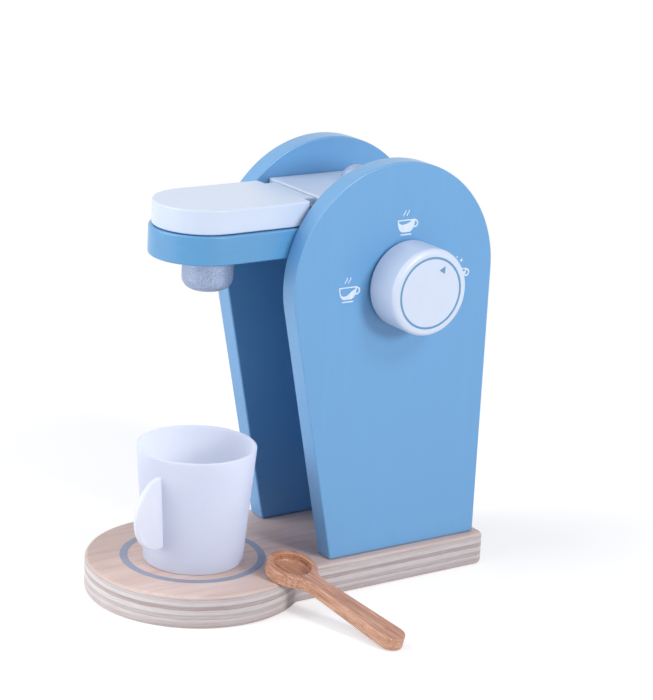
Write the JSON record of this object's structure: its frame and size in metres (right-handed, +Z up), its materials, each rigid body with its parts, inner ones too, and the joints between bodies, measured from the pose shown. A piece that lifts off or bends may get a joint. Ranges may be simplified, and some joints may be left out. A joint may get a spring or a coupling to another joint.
{
  "type": "toy coffee maker",
  "caption": "Painted wooden toy coffee maker on a plywood base, with a hinged lid, a side knob, a loose plastic cup and a wooden scoop.",
  "frame": {"origin": "on the surface that the toy stands on, below the centre of the base's round end", "axes": "+Z up, -Y towards the front of the toy, +X towards the side with the knob"},
  "size_m": [0.1828, 0.2222, 0.2354],
  "materials": {
    "plywood": "matt lacquer over plywood with visible plies",
    "blue_paint": "satin light blue paint",
    "white_paint": "satin white paint",
    "silver_paint": "satin silver paint",
    "beech": "bare",
    "red_wood": "smooth, oiled",
    "steel": "bright",
    "nylon": "matt",
    "milky_plastic": "milky, slightly translucent"
  },
  "bodies": {
    "machine": {"base_board": "plywood", "base_screw_1": "steel", "base_screw_2": "steel", "base_screw_3": "steel", "base_screw_4": "steel", "base_screw_5": "steel", "base_screw_6": "steel", "left_panel": "blue_paint", "right_panel": "blue_paint", "panel_dowel_1": "beech", "panel_dowel_2": "beech", "back_board": "blue_paint", "back_dowel_1": "beech", "back_dowel_2": "beech", "brew_head": "blue_paint", "head_dowel_1": "beech", "head_dowel_2": "beech", "head_dowel_3": "beech", "head_dowel_4": "beech", "spout": "silver_paint", "spout_dowel": "beech", "lid_hinge_rod": "steel", "rear_block": "white_paint", "block_dowel_1": "beech", "block_dowel_2": "beech", "top_dome": "silver_paint", "knob_washer": "nylon"},
    "lid": {"lid": "white_paint"},
    "knob": {"knob": "white_paint", "knob_axle": "beech", "knob_retainer": "beech"},
    "cup": {"cup": "milky_plastic"},
    "scoop": {"scoop": "red_wood"}
  },
  "joints": [
    {"name": "lid_hinge", "type": "hinge", "parent": "machine", "child": "lid", "pos_m": [0, 0.04976, 0.2114], "axis": [-1, 0, 0], "range_deg": [0, 111]},
    {"name": "knob_turn", "type": "hinge", "parent": "machine", "child": "knob", "pos_m": [0.0414, 0.1005, 0.1695], "axis": [1, 0, 0], "continuous": true},
    {"name": "cup_lift", "type": "slide", "parent": "machine", "child": "cup", "axis": [0, 0, 1], "range_m": [0, 0.08]},
    {"name": "scoop_lift", "type": "slide", "parent": "machine", "child": "scoop", "axis": [0, 0, 1], "range_m": [0, 0.06]}
  ]
}
